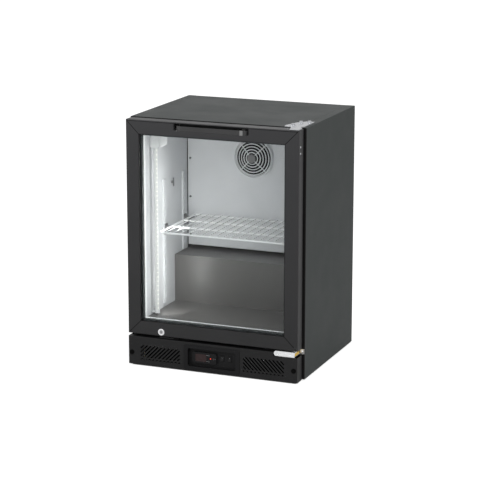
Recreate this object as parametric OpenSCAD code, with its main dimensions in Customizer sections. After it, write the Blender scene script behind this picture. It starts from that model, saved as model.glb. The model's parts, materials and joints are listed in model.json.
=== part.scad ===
// Under-counter fridge with one glazed door: an insulated cabinet on glides, a double-glazed
// door on two pin hinges, one wire shelf, a fan-blown evaporator behind a cover, and a
// condensing unit under the floor, behind a vented kick plate that carries the controls.
// Millimetres. +Z is up, the door faces -Y and is hinged on the +X side. The origin is on the
// floor, under the middle of the overall box.

/* [Cabinet] */
// Overall width
width = 600; // [592:1:610]
// Overall depth, from the lock's face to the rear screw heads
depth = 520; // [514:1:530]
// Height of the cabinet's top panel above the floor
height = 815; // [805:1:830]
// Thickness of the insulated walls
wall = 40; // [38:1:41]

/* [Door] */
// Thickness of the door frame, front to back
door_t = 42; // [42:1:44]
// Distance of the door's and kick plate's sides from the cabinet's sides
door_inset = 6.5; // [5:0.5:8]
// Width of the door's frame bars, seen from the front
bar_w = 46; // [45:1:50]
// Gap between the kick plate and the door
door_gap = 9.5; // [9:0.5:11]
// Half-length of the handle's pocket
pocket_half = 129; // [110:1:150]

/* [Kick plate] */
// Height of the kick plate
kick_h = 95; // [94:1:97]
// Pitch of the slanted vent slots along the plate
slot_pitch = 13.3; // [12:0.1:16]
// Width of one vent slot
slot_w = 4.6; // [3:0.1:5]

/* [Inside] */
// Height of the shelf's top
shelf_z = 433; // [410:1:470]
// Pitch of the shelf's wires
wire_pitch = 25; // [20:1:30]
// Height of the evaporator fan's axis
fan_z = 636; // [620:1:650]
// Radius of the fan guard's outer ring
guard_r = 67; // [62:1:72]

/* [Hinge and lock] */
// Radius of the hinge pins
pin_r = 5; // [4:0.5:6]
// Distance of the lock's axis from the door's left edge
lock_side = 118; // [100:1:150]

/* [Hidden] */
$fn = 48;

black_paint = [0.13, 0.13, 0.14];
body_paint = [0.30, 0.31, 0.31];
white_plastic = [0.90, 0.91, 0.92];
liner_grey = [0.78, 0.79, 0.80];
zinc = [0.80, 0.81, 0.83];
black_plastic = [0.06, 0.06, 0.07];
copper = [0.72, 0.45, 0.30];

// outer faces
half_w = width / 2;
door_hx = half_w - door_inset;
lock_stand = 2;
screw_stand = 2;
front_y = -depth / 2 + lock_stand;
body_back = depth / 2 - screw_stand;
gasket_gap = 8;
door_back = front_y + door_t;
cab_y = door_back + gasket_gap;
foot_h = 4;
sheet = 1;
edge_r = 2;
flange_w = 28;
rear_flange = 15;
seam = 0.4;

// cavity and machine bay
in_x = half_w - wall;
kick_top = foot_h + kick_h;
bay_top = kick_top + 1;
floor_z = kick_top + 47;
ceil_z = height - wall;
back_y = body_back - wall;
hump_y = 41;
hump_z = 307;
hump_wall = 30;
bay_rear_y = hump_y + hump_wall;
bay_rear_top = hump_z - hump_wall;
grille_y = body_back - 5.2;
strip_leg = 2;
strip_deep = 20;

// door
door_z0 = kick_top + door_gap;
door_z1 = height - 1.5;
lip_t = 6;
rebate_a = 34;
rear_lip_b = door_t - 10;
pane_t = 5;
glass_gap = 14;
glass_y = front_y + lip_t + 0.5;
glass_inset = rebate_a + 1;
gasket_inset = 20;
gasket_w = 14;
gasket_d = gasket_gap - 0.3;
pocket_top = door_z1 - 2.5;
pocket_h = 25;
pocket_d = 26;
handle_bar_h = 15.8;

// hinge line and lock
pin_x = door_hx - 17;
pin_y = front_y + 25;
pin_fit = 0.05;
bush_r = pin_r + 3;
bush_len = 14;
plate_t = 3;
lock_x = -door_hx + lock_side;
lock_z = door_z0 + 14.5;
plug_r = 6;
cam_y = front_y + 17.3;
cam_t = 2.5;
cam_len = 22;
keeper_z = door_z0 - 7;

// evaporator cover and fans
cover_x = 257;
cover_y = 150;
cover_z0 = hump_z + 12;
cover_z1 = ceil_z - 7;
fan_x = -17.5;
evap_fan_y = cover_y + 10;
cond_fan = [-185, -134, 52];
cond_fan_r = 39;

// shelf and its brackets
shelf_x = 228;
shelf_y0 = -158;
shelf_y1 = 141;
wire_r = 1.5;
frame_rod_r = 3;
rod_z = shelf_z - 2 * wire_r - frame_rod_r + 0.4;
rail_front_y = -45;
rail_rear_y = 112;
rail_w = 18;
rail_t = 6;

// controls
bezel_x = 97;
bezel_z = [9, 91];
recess_x = 83;
recess_z = [20, 80];
recess_back = front_y + 12;
control_z = 50;
controller_x = [-70, 15];
controller_h = 36;
controller_y = front_y + 5;
button_r = 3;
button_gap = 0.3;
button_proud = 0.8;
switch_z = 53.5;
switch_xs = [32, 58];
rocker_tilt = 8;
rocker_y = recess_back + 1;
trunnion_r = 1.2;

// ---- helpers ----

// box between two corners
module box(lo, hi) {
    translate(lo) cube(hi - lo);
}

// rectangle with chosen corners rounded, in the order low-low, high-low, high-high, low-high
module soft_rect(lo, hi, r, corners = [true, true, true, true]) {
    ends = [lo, [hi.x, lo.y], hi, [lo.x, hi.y]];
    inward = [[1, 1], [-1, 1], [-1, -1], [1, -1]];
    difference() {
        translate(lo) square(hi - lo);
        for (i = [0:3]) if (corners[i]) translate(ends[i] + r * inward[i]) difference() {
            translate([-0.5, -0.5] * (r + 1) - inward[i] * 0.5 * (r + 1)) square(r + 1);
            circle(r);
        }
    }
}

// extrudes a drawing of the XZ plane backwards from y0
module front_extrude(y0, length) {
    translate([0, y0 + length, 0]) rotate([90, 0, 0]) linear_extrude(length) children();
}

// extrudes a drawing of the YZ plane from x0 towards +X
module side_extrude(x0, length) {
    translate([x0, 0, 0]) rotate([90, 0, 90]) linear_extrude(length) children();
}

// cylinder along +Y from a point
module y_rod(p, length, r) {
    translate(p) rotate([-90, 0, 0]) cylinder(h = length, r = r);
}

// cylinder between two points
module rod(a, b, r) {
    d = b - a;
    length = norm(d);
    translate(a) rotate([0, acos(d.z / length), atan2(d.y, d.x)]) cylinder(h = length, r = r);
}

// round bar along a list of points, with ball corners a little larger than the bar
module bent_rod(points, r) {
    for (i = [1:len(points) - 1]) rod(points[i - 1], points[i], r);
    for (i = [1:len(points) - 2]) translate(points[i]) sphere(r + 0.1);
}

// straight bar along one side of a frame; its section has X inwards from the frame's outer
// edge and Y backwards from y0
module straight_bar(side, hx, z0, z1, y0) {
    if (side == "left")
        translate([-hx, y0, z0]) linear_extrude(z1 - z0) children();
    else if (side == "right")
        translate([hx, y0, z0]) mirror([1, 0, 0]) linear_extrude(z1 - z0) children();
    else if (side == "bottom")
        translate([hx, y0, z0]) rotate([0, -90, 0]) linear_extrude(2 * hx) children();
    else
        translate([hx, y0, z1]) mirror([0, 0, 1]) rotate([0, -90, 0])
            linear_extrude(2 * hx) children();
}

// the trapezium that one side of a frame keeps, between its two mitres
module mitre_wedge(side, hx, z0, z1, band) {
    corners = [[-hx, z0], [hx, z0], [hx, z1], [-hx, z1]];
    inward = [[1, 1], [-1, 1], [-1, -1], [1, -1]];
    first = side == "bottom" ? 0 : side == "right" ? 1 : side == "top" ? 2 : 3;
    next = (first + 1) % 4;
    front_extrude(-depth, 2 * depth)
        polygon([corners[first], corners[next],
                 corners[next] + band * inward[next], corners[first] + band * inward[first]]);
}

module mitred_bar(side, hx, z0, z1, y0, band) {
    intersection() {
        straight_bar(side, hx, z0, z1, y0) children();
        mitre_wedge(side, hx, z0, z1, band);
    }
}

module mitred_ring(hx, z0, z1, y0, band) {
    for (side = ["left", "right", "bottom", "top"])
        mitred_bar(side, hx, z0, z1, y0, band) children();
}

// hexagon-headed bolt with a washer flange, head up
module hex_bolt(head_r = 6.2, head_h = 4.5, shank = 3) {
    cylinder(h = 1, r = head_r + 1.8);
    translate([0, 0, 1]) cylinder(h = head_h, r = head_r, $fn = 6);
    translate([0, 0, -shank]) cylinder(h = shank, r = 2.9);
}

// pan-headed screw, head up
module pan_screw(head_r = 3.6, shank = 4) {
    difference() {
        cylinder(h = screw_stand, r = head_r);
        translate([0, 0, 1.2]) cube([5, 0.9, 2], center = true);
        translate([0, 0, 1.2]) cube([0.9, 5, 2], center = true);
    }
    translate([0, 0, -shank]) cylinder(h = shank, r = 1.4);
}

// fan with flat pitched blades, axis along +Y from its front face
module fan_rotor(tip_r, hub_r, deep, blades, pitch) {
    blade_t = 1.6;
    y_rod([0, 0, 0], deep, hub_r);
    intersection() {
        y_rod([0, 0, 0], deep, tip_r);
        for (i = [0:blades - 1]) rotate([0, i * 360 / blades, 0])
            translate([0, deep / 2, hub_r - 2]) rotate([0, 0, pitch])
                translate([-tip_r * 0.42, -blade_t / 2, 0]) cube([tip_r * 0.84, blade_t, tip_r]);
    }
}

// ---- outer casing ----

// folded sheet: side face, and flanges at the front, top, rear and bottom
module side_panel() {
    inner_x = half_w - flange_w;
    difference() {
        intersection() {
            translate([0, 0, foot_h]) linear_extrude(height - foot_h)
                soft_rect([inner_x, cab_y], [half_w, body_back], edge_r, [false, true, false, false]);
            front_extrude(cab_y, body_back - cab_y)
                soft_rect([inner_x, foot_h], [half_w, height], edge_r, [false, false, true, false]);
        }
        box([inner_x - 1, cab_y + sheet, foot_h + sheet],
            [half_w - sheet, body_back - sheet, height - sheet]);
        box([inner_x - 1, body_back - 2, foot_h + sheet],
            [half_w - rear_flange, body_back + 1, height - sheet]);
        plug_points() y_rod([0, cab_y - 1, 0], 3, 3.2);
    }
}

module side_panel_right() {
    color(body_paint) side_panel();
}

module side_panel_left() {
    color(body_paint) mirror([1, 0, 0]) side_panel();
}

// flat top with turned-down front and rear edges, dropped between the side flanges; its rear
// edge has two ears that close the corners over the back panel
module top_panel() {
    hx = half_w - flange_w - seam;
    ear_x = half_w - rear_flange - seam;
    rear_fold = 20;
    color(body_paint) {
        difference() {
            side_extrude(-hx, 2 * hx)
                soft_rect([cab_y, height - flange_w], [body_back, height], edge_r,
                          [false, false, true, true]);
            box([-hx - 1, cab_y + sheet, height - flange_w - 1],
                [hx + 1, body_back - sheet, height - sheet]);
            box([-hx - 1, body_back - 2, height - flange_w - 1],
                [hx + 1, body_back + 1, height - rear_fold]);
        }
        for (s = [0, 1]) mirror([s, 0, 0])
            box([hx - 5, body_back - sheet, height - rear_fold],
                [ear_x, body_back, height - edge_r - 0.2]);
    }
}

module back_panel() {
    hx = half_w - rear_flange - seam;
    z0 = bay_rear_top + 8;
    z1 = height - 20 - seam;
    rib_w = 60;
    color(body_paint) difference() {
        box([-hx, body_back - sheet, z0], [hx, body_back, z1]);
        back_screw_points() y_rod([0, -3, 0], 5, 1.7);
        for (x = [-150, 0, 150])
            box([x - rib_w / 2, body_back - 0.4, z0 + 60], [x + rib_w / 2, body_back + 1, z1 - 60]);
    }
}

// tray under the machine bay, with the bay's side walls
module base_pan() {
    hx = in_x + sheet;
    pan_back = grille_y - 0.4;
    side_outline = [
        [cab_y + 3, foot_h + sheet], [pan_back, foot_h + sheet],
        [pan_back, bay_rear_top - 1], [bay_rear_y, bay_rear_top - 1],
        [bay_rear_y, bay_top - 1], [cab_y + 3, bay_top - 1]
    ];
    color(black_paint) difference() {
        union() {
            box([-hx, cab_y + 1.6, foot_h + sheet], [hx, pan_back, foot_h + 2.2 * sheet]);
            box([-in_x, cab_y + 1.6, foot_h + sheet], [in_x, cab_y + 2.8, foot_h + 8]);
            for (x0 = [-hx, in_x]) side_extrude(x0, sheet) polygon(side_outline);
        }
        glide_points() cylinder(h = 20, r = 4.2);
    }
}

// sheet that closes the front edge of the insulated floor and carries the lower fittings, with
// two legs that close the foam's edges beside the machine bay
module front_rail() {
    hx = half_w - flange_w - seam;
    z0 = kick_top - 24;
    z1 = floor_z - 12 - seam;
    color(black_paint) {
        box([-hx, cab_y, z0], [hx, cab_y + 1.2, z1]);
        box([-in_x + 1, cab_y, z0], [in_x - 1, cab_y + 8, z0 + 1.2]);
        for (s = [0, 1]) mirror([s, 0, 0])
            box([in_x + 1.3, cab_y, foot_h + sheet + 0.2], [hx, cab_y + 1.2, z0 + 1]);
    }
}

// foam filling between the casing, the liner and the machine bay
module foam_insulation() {
    skin = sheet + 0.2;
    y0 = cab_y + 3;
    color([0.93, 0.86, 0.66]) difference() {
        box([-half_w + 1.5, y0, foot_h + 2], [half_w - 1.5, body_back - 2, height - 2]);
        difference() {
            box([-in_x - skin, y0 - 1, floor_z - skin],
                [in_x + skin, back_y + skin, ceil_z + skin]);
            box([-in_x - 2, hump_y + skin, 0], [in_x + 2, back_y + 5, hump_z - skin]);
        }
        box([-in_x - skin, y0 - 1, 0], [in_x + skin, body_back, bay_top - sheet + 0.2]);
        box([-in_x - skin, bay_rear_y - 0.2, 0], [in_x + skin, body_back, bay_rear_top - 0.8]);
        box([-half_w, grille_y - 5, 0], [half_w, body_back, bay_rear_top + 9]);
    }
}

// four mitred strips that trim the edge of the door opening
module breaker_strips() {
    hx = half_w - flange_w;
    band = hx - in_x + strip_leg;
    color(white_plastic) for (side = ["left", "right", "bottom", "top"])
        mitred_bar(side, hx - 0.2, floor_z - 12 + 0.2, ceil_z + 12 - 0.2, cab_y, band) {
            union() {
                square([band - 0.2, 2]);
                translate([band - 0.2 - strip_leg, 0]) square([strip_leg, strip_deep]);
            }
        }
}

// ---- liner ----

module liner_side() {
    y0 = cab_y + 3;
    outline = [
        [y0, floor_z - 1], [hump_y + 1, floor_z - 1], [hump_y + 1, hump_z - 1],
        [back_y + 1, hump_z - 1], [back_y + 1, ceil_z], [y0, ceil_z]
    ];
    side_extrude(in_x, sheet) polygon(outline);
}

module liner_right() {
    color(liner_grey) liner_side();
}

module liner_left() {
    color(liner_grey) mirror([1, 0, 0]) liner_side();
}

module liner_top() {
    color(liner_grey)
        box([-in_x - 1, cab_y + 3, ceil_z], [in_x + 1, back_y + 1, ceil_z + sheet]);
}

module liner_back() {
    color(liner_grey) box([-in_x, back_y, hump_z], [in_x, back_y + sheet, ceil_z]);
}

// floor, front and top of the compressor hump, folded from one sheet
module liner_floor() {
    outline = [
        [cab_y + 3, floor_z - 1], [hump_y + 1, floor_z - 1], [hump_y + 1, hump_z - 1],
        [back_y + 1, hump_z - 1], [back_y + 1, hump_z], [hump_y, hump_z],
        [hump_y, floor_z], [cab_y + 3, floor_z]
    ];
    color([0.42, 0.42, 0.43]) side_extrude(-in_x, 2 * in_x) polygon(outline);
}

// ---- evaporator ----

module cover_screw_points() {
    for (x = [-cover_x + 9, cover_x - 9]) for (z = [cover_z0 + 35, cover_z0 + 167, cover_z0 + 300])
        translate([x, cover_y, z]) children();
}

// sheet box in front of the coil, open below, with the fan's opening
module evaporator_cover() {
    t = 1.2;
    color(liner_grey) difference() {
        box([-cover_x, cover_y, cover_z0], [cover_x, back_y - 0.3, cover_z1]);
        box([-cover_x + t, cover_y + t, cover_z0 - 1], [cover_x - t, back_y + 1, cover_z1 - t]);
        y_rod([fan_x, cover_y - 1, fan_z], 5, guard_r - 6);
        cover_screw_points() y_rod([0, -1, 0], 4, 1.7);
    }
}

// finned block with three passes of tube
module evaporator_coil() {
    hx = 185;
    y = [174, 212];
    z = [345, 540];
    fin_pitch = 14;
    passes = 5;
    fins = floor(2 * hx / fin_pitch);
    color([0.75, 0.76, 0.78]) {
        for (i = [0:fins]) let (x = -hx + i * fin_pitch)
            box([x, y[0], z[0]], [x + 0.8, y[1], z[1]]);
        for (i = [0:passes - 1]) let (zt = z[0] + 25 + i * 36)
            rod([-hx - 12, (y[0] + y[1]) / 2, zt], [hx + 12, (y[0] + y[1]) / 2, zt], 4);
    }
}

// motor body with four arms that screw to the back of the cover
module evaporator_fan_motor() {
    arm_r = guard_r + 4;
    arm_y = evap_fan_y + 34;
    color(black_plastic) difference() {
        union() {
            y_rod([fan_x, arm_y - 2, fan_z], 22, 22);
            for (a = [45:90:315]) {
                tip = [fan_x + arm_r * cos(a), arm_y, fan_z + arm_r * sin(a)];
                bent_rod([[fan_x, arm_y, fan_z], tip, [tip.x, cover_y + 1.4, tip.z]], 2.2);
            }
        }
        y_rod([fan_x, arm_y - 3, fan_z], 14, 2.5 + pin_fit);
    }
}

module evaporator_fan() {
    color(black_plastic) translate([fan_x, evap_fan_y, fan_z]) {
        fan_rotor(guard_r - 10, 19, 24, 5, 28);
        y_rod([0, 20, 0], 20, 2.5);
    }
}

// wire rings on four crossed spokes that rise to a plain hub disc, like a shallow cone
module fan_guard() {
    ring_wire = 1.7;
    spoke_wire = 1.5;
    rings = 6;
    first_ring = 20;
    rise = 15;
    rim_y = cover_y - 5;
    spoke_y = rim_y + 1.6;
    color(zinc) {
        for (i = [0:rings - 1]) let (r = first_ring + i * (guard_r - first_ring) / (rings - 1))
            translate([fan_x, rim_y - rise * (1 - r / guard_r), fan_z]) rotate([90, 0, 0])
                rotate_extrude() translate([r, 0]) circle(ring_wire);
        for (a = [45:90:315])
            let (rim = [fan_x + guard_r * cos(a), spoke_y, fan_z + guard_r * sin(a)])
                bent_rod([[fan_x, spoke_y - rise, fan_z], rim, [rim.x, cover_y, rim.z]], spoke_wire);
        y_rod([fan_x, rim_y - rise - ring_wire, fan_z], 5, 14);
    }
}

// ---- lamp, shelf and shelf supports ----

lamp = [-244, -138];
lamp_r = 6.2;
driver_y = [-147, -84];
driver_z0 = ceil_z - 70;

// driver box under the ceiling, and the tube's lower end cap with its wall clip
module lamp_holders() {
    color(white_plastic) {
        difference() {
            front_extrude(driver_y[0], driver_y[1] - driver_y[0])
                soft_rect([-in_x, driver_z0], [-228, ceil_z], 3, [false, true, false, false]);
            translate([lamp.x, lamp.y, driver_z0 - 1]) cylinder(h = 9, r = lamp_r + 0.2);
        }
        difference() {
            union() {
                translate([lamp.x, lamp.y, floor_z + 4]) cylinder(h = 10, r = lamp_r + 2.3);
                box([-in_x, lamp.y - 4, floor_z + 5], [lamp.x - 4, lamp.y + 4, floor_z + 9]);
            }
            translate([lamp.x, lamp.y, floor_z + 7]) cylinder(h = 9, r = lamp_r + 0.2);
        }
    }
}

module lamp_tube() {
    color([0.97, 0.97, 0.90]) translate([lamp.x, lamp.y, floor_z + 7.2])
        cylinder(h = driver_z0 + 7.5 - floor_z - 7.2, r = lamp_r);
}

// slotted upright on the right wall
module shelf_rail(y, z0, z1) {
    slot_step = 25;
    slot_h = 10;
    difference() {
        box([in_x - rail_t, y - rail_w / 2, z0], [in_x, y + rail_w / 2, z1]);
        for (z = [z0 + 20:slot_step:z1 - 20])
            box([in_x - rail_t - 1, y - 2, z], [in_x - 1, y + 2, z + slot_h]);
    }
}

module shelf_rails() {
    top = 580;
    color(liner_grey) for (s = [0, 1]) mirror([s, 0, 0]) {
        shelf_rail(rail_front_y, floor_z + 14, top);
        shelf_rail(rail_rear_y, hump_z + 5, top);
    }
}

// four hooked plates that carry the shelf's side rods
module shelf_brackets() {
    top = rod_z - frame_rod_r - 0.1;
    color([0.45, 0.45, 0.46]) for (s = [0, 1]) mirror([s, 0, 0])
        for (y = [rail_front_y, rail_rear_y]) front_extrude(y - 8, 16)
            polygon([[in_x - rail_t, top - 30], [in_x - rail_t, top + 8],
                     [in_x - rail_t - 5, top + 8], [in_x - rail_t - 5, top],
                     [shelf_x - 8, top], [shelf_x - 8, top - 4],
                     [shelf_x + 4, top - 14]]);
}

// coated wires on a rod frame with rounded front corners
module shelf() {
    corner = 20;
    cross_rod_r = 2.8;
    hx = shelf_x - frame_rod_r;
    y0 = shelf_y0 + frame_rod_r;
    y1 = shelf_y1 - frame_rod_r;
    wires = floor((hx - 8) / wire_pitch);
    color(white_plastic) {
        rod([-hx + corner, y0, rod_z], [hx - corner, y0, rod_z], frame_rod_r);
        for (y = [y0 + 95, y0 + 195, y1]) rod([-hx, y, rod_z], [hx, y, rod_z], cross_rod_r);
        for (s = [0, 1]) mirror([s, 0, 0]) {
            rod([hx, y0 + corner, rod_z], [hx, y1, rod_z], frame_rod_r);
            translate([hx, y1, rod_z]) sphere(frame_rod_r + 0.1);
            translate([hx - corner, y0 + corner, rod_z]) rotate([0, 0, -90])
                rotate_extrude(angle = 90) translate([corner, 0]) circle(frame_rod_r);
        }
        for (i = [-wires:wires]) let (x = i * wire_pitch, z = shelf_z - wire_r)
            rod([x, y0 - 2, z], [x, y1 + 2, z], wire_r);
    }
}

// ---- machine bay ----

pot = [95, 184];
pot_r = 62;
discharge_z = 105;
suction_z = 135;
pipe_r = 3;
socket = 10;

// welded pot with a domed lid on a footed base, its terminal box and two stub tubes
module compressor() {
    base_z = foot_h + 2.2 * sheet;
    pot_h = 150;
    dome_r = 30;
    color(black_plastic) {
        translate([pot.x, pot.y, base_z + 14]) rotate_extrude()
            difference() {
                soft_rect([-pot_r, 0], [pot_r, pot_h], dome_r, [true, true, true, true]);
                translate([-2 * pot_r, -1]) square([2 * pot_r, pot_h + 2]);
            }
        box([pot.x - 75, pot.y - 52, base_z + 12], [pot.x + 75, pot.y + 52, base_z + 16]);
        for (x = [-62, 62]) for (y = [-40, 40])
            translate([pot.x + x, pot.y + y, base_z]) cylinder(h = 13, r = 9);
        box([pot.x + pot_r - 8, pot.y - 24, base_z + 50],
            [pot.x + pot_r + 28, pot.y + 24, base_z + 105]);
        for (z = [discharge_z, suction_z]) difference() {
            rod([pot.x - pot_r - socket - 2, pot.y, z], [pot.x - pot_r + 4, pot.y, z], pipe_r + 1.5);
            rod([pot.x - pot_r - socket - 3, pot.y, z], [pot.x - pot_r - 2, pot.y, z],
                pipe_r + pin_fit);
        }
    }
}

cond_x = [-242, -112];
cond_y = [-196, -156];
cond_z = [14, 95];
cond_mid_y = (cond_y[0] + cond_y[1]) / 2;
tube_zs = [for (i = [0:3]) cond_z[0] + 10.5 + i * 20];

// half ring, a little thicker than the tubes it joins, bulging towards +X or -X
module tube_bend(x, z_low, z_high, side) {
    bend_r = (z_high - z_low) / 2;
    translate([x, cond_mid_y, z_low + bend_r]) rotate([90, 0, 0]) rotate([0, 0, -90 * side])
        rotate_extrude(angle = 180) translate([bend_r, 0]) circle(pipe_r + 1.2);
}

// close fins on one serpentine tube, whose two open ends face +X
module condenser_coil() {
    fin_pitch = 4.4;
    fins = floor((cond_x[1] - cond_x[0]) / fin_pitch);
    bend_x = [cond_x[0] - 0.5, cond_x[1] + 1];
    socket_end = cond_x[1] + socket + 4;
    run_end = [socket_end, bend_x[1] + 1, bend_x[1] + 1, socket_end];
    color([0.83, 0.84, 0.86]) difference() {
        union() {
            for (i = [0:fins]) let (x = cond_x[0] + i * fin_pitch)
                box([x, cond_y[0], cond_z[0]], [x + 0.7, cond_y[1], cond_z[1]]);
            for (i = [0:3]) rod([bend_x[0] - 1, cond_mid_y, tube_zs[i]],
                                [run_end[i], cond_mid_y, tube_zs[i]], pipe_r + 1);
            for (i = [0, 2]) tube_bend(bend_x[0], tube_zs[i], tube_zs[i + 1], -1);
            tube_bend(bend_x[1], tube_zs[1], tube_zs[2], 1);
        }
        for (i = [0, 3]) rod([cond_x[1] + 4, cond_mid_y, tube_zs[i]],
                             [socket_end + 1, cond_mid_y, tube_zs[i]], pipe_r + pin_fit);
    }
}

// shroud plate behind the coil, with the motor on three arms
module condenser_fan_motor() {
    plate_y = cond_y[1] + 3;
    motor_y = cond_fan.y + 24;
    arm_r = cond_fan_r + 5;
    color([0.35, 0.35, 0.36]) difference() {
        union() {
            difference() {
                box([cond_fan.x - 52, plate_y, 8], [cond_fan.x + 52, plate_y + 1.5, 97]);
                y_rod([cond_fan.x, plate_y - 1, cond_fan.z], 4, cond_fan_r + 2);
            }
            y_rod([cond_fan.x, motor_y, cond_fan.z], 34, 19);
            for (a = [45:90:315]) {
                out = [cond_fan.x + 1.12 * arm_r * cos(a), motor_y + 3, cond_fan.z + arm_r * sin(a)];
                bent_rod([[cond_fan.x, motor_y + 3, cond_fan.z], out,
                          [out.x, plate_y + 1, out.z]], 2);
            }
        }
        y_rod([cond_fan.x, motor_y - 1, cond_fan.z], 15, 2.5 + pin_fit);
    }
}

module condenser_fan() {
    color(black_plastic) translate(cond_fan) {
        fan_rotor(cond_fan_r, 12, 18, 5, 30);
        y_rod([0, 16, 0], 20, 2.5);
    }
}

// copper lines with the drier, from the compressor to the condenser and up into the foam
module refrigerant_pipes() {
    coil_end = cond_x[1] + 6;
    pot_end = pot.x - pot_r - 4;
    hot_x = 8;
    drier_x = -60;
    suction_x = -20;
    rise_y = 140;
    top_z = bay_rear_top - 1;
    color(copper) {
        bent_rod([[pot_end, pot.y, discharge_z], [hot_x, pot.y, discharge_z],
                  [hot_x, pot.y, tube_zs[3]], [hot_x, cond_mid_y, tube_zs[3]],
                  [coil_end, cond_mid_y, tube_zs[3]]], pipe_r);
        bent_rod([[coil_end, cond_mid_y, tube_zs[0]], [drier_x, cond_mid_y, tube_zs[0]],
                  [drier_x, rise_y, tube_zs[0]], [drier_x, rise_y, top_z]], pipe_r);
        bent_rod([[pot_end, pot.y, suction_z], [suction_x, pot.y, suction_z],
                  [suction_x, pot.y, top_z]], pipe_r);
        rod([drier_x, -60, tube_zs[0]], [drier_x, 50, tube_zs[0]], 9);
    }
}

// tray that catches the defrost water
module drain_pan() {
    lo = [-228, 125, foot_h + 2.4];
    hi = [-85, 240, 60];
    color(black_plastic) difference() {
        box(lo, hi);
        box([lo.x + 2, lo.y + 2, lo.z + 2], [hi.x - 2, hi.y - 2, hi.z + 1]);
    }
}

gland = [225, body_back - 4, 60];

module grille_screw_points() {
    for (x = [-half_w + 30, 0, half_w - 30]) for (z = [20, bay_rear_top - 8])
        translate([x, body_back - 4, z]) children();
}

module back_screw_points() {
    for (x = [-half_w + 24, half_w - 24])
        for (z = [bay_rear_top + 20, (bay_rear_top + height) / 2, height - 34])
            translate([x, body_back, z]) children();
}

// louvred sheet over the back of the machine bay
module rear_grille() {
    hx = half_w - rear_flange - seam;
    slot = [70, 6];
    color(body_paint) difference() {
        box([-hx, grille_y, foot_h + 2], [hx, grille_y + 1.2, bay_rear_top + 7]);
        for (x = [-200, -100, 0, 100]) for (z = [40:18:240])
            box([x - slot.x / 2, body_back - 7, z], [x + slot.x / 2, body_back, z + slot.y]);
        for (z = [112:18:240])
            box([200 - slot.x / 2, body_back - 7, z], [200 + slot.x / 2, body_back, z + slot.y]);
        y_rod([gland.x, gland.y - 3, gland.z], 5, 9.2);
        grille_screw_points() y_rod([0, -3, 0], 5, 1.7);
    }
}

module panel_screws() {
    color(zinc) {
        grille_screw_points() rotate([-90, 0, 0]) pan_screw();
        back_screw_points() rotate([-90, 0, 0]) pan_screw(shank = 1.8);
        cover_screw_points() rotate([90, 0, 0]) pan_screw();
    }
}

// bushing that the mains lead passes through
module cord_gland() {
    color(black_plastic) difference() {
        union() {
            y_rod([gland.x, gland.y - 9, gland.z], 10, 9);
            y_rod(gland, 4, 13);
        }
        y_rod([gland.x, gland.y - 10, gland.z], 16, 4.5);
    }
}

module glide_points() {
    for (x = [-235, 235]) for (y = [-185, 230]) translate([x, y, 0]) children();
}

module glides() {
    color(black_plastic) glide_points() {
        cylinder(h = foot_h + sheet, r = 15);
        cylinder(h = 12, r = 4);
    }
}

// ---- kick plate and controls ----

vent_w = 141;
vent_z = [21, 72.5];
plug_z = 44;
plug_x = door_hx - 12;
bracket_x = [door_hx - 79, door_hx - 9];
bracket_z = [kick_top - 11, kick_top + 5.5];

module plug_points() {
    for (x = [-plug_x, plug_x]) translate([x, 0, plug_z]) children();
}

// round-ended slot between two points of a drawing
module slot_2d(a, b, w) {
    d = b - a;
    translate(a) rotate(atan2(d.y, d.x)) translate([0, -w / 2]) square([norm(d), w]);
    translate(a) circle(w / 2);
    translate(b) circle(w / 2);
}

// slots at 45 degrees, cut off by a rectangle of the vent's size and crossed by a low bridge
module vent_slots() {
    h = vent_z[1] - vent_z[0];
    inset = slot_w / 2;
    bridge = [6, 9.5];
    difference() {
        for (c = [-h + slot_pitch:slot_pitch:vent_w - inset])
            let (x0 = max(c, 0) + inset, x1 = min(c + h, vent_w) - inset)
                if (x1 > x0 + 1) slot_2d([x0, x0 - c], [x1, x1 - c], slot_w);
        translate([-1, bridge[0]]) square([vent_w + 2, bridge[1] - bridge[0]]);
    }
}

// folded cover across the bottom of the front, with vents, a control cut-out and a hinge notch
module kick_plate() {
    back = door_back;
    t = 1.2;
    return_w = 14;
    hole_x = bezel_x - 9.5;
    color(black_paint) difference() {
        intersection() {
            translate([0, 0, foot_h]) linear_extrude(kick_h)
                soft_rect([-door_hx, front_y], [door_hx, back], edge_r, [true, true, false, false]);
            side_extrude(-door_hx, 2 * door_hx)
                soft_rect([front_y, foot_h], [back, kick_top], edge_r, [true, false, false, true]);
        }
        box([-door_hx + t, front_y + t, foot_h + t], [door_hx - t, back + 1, kick_top - t]);
        box([-door_hx + t, front_y + return_w, 0], [door_hx - t, back + 1, kick_top + 1]);
        box([bracket_x[0] - 1.5, front_y - 1, bracket_z[0] - 1.5],
            [door_hx + 1, back + 1, kick_top + 1]);
        box([-hole_x, front_y - 1, bezel_z[0] + 6.5], [hole_x, front_y + 3, bezel_z[1] - 6.5]);
        front_extrude(front_y - 1, 3) {
            translate([-door_hx + 42, vent_z[0]]) vent_slots();
            translate([door_hx - 44, vent_z[0]]) mirror([1, 0]) vent_slots();
        }
        plug_points() y_rod([0, front_y - 1, 0], 4, 3.2);
    }
}

// push-in fasteners with round heads and long shanks
module kick_plate_plugs() {
    color(black_plastic) plug_points() {
        y_rod([0, front_y - 1.2, 0], 1.2, 8);
        y_rod([0, front_y - 0.1, 0], cab_y - front_y + 2.6, 3);
    }
}

module switch_cutouts(sx, sz, y0, length) {
    for (x = switch_xs)
        box([x - sx / 2, y0, switch_z - sz / 2], [x + sx / 2, y0 + length, switch_z + sz / 2]);
}

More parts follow.
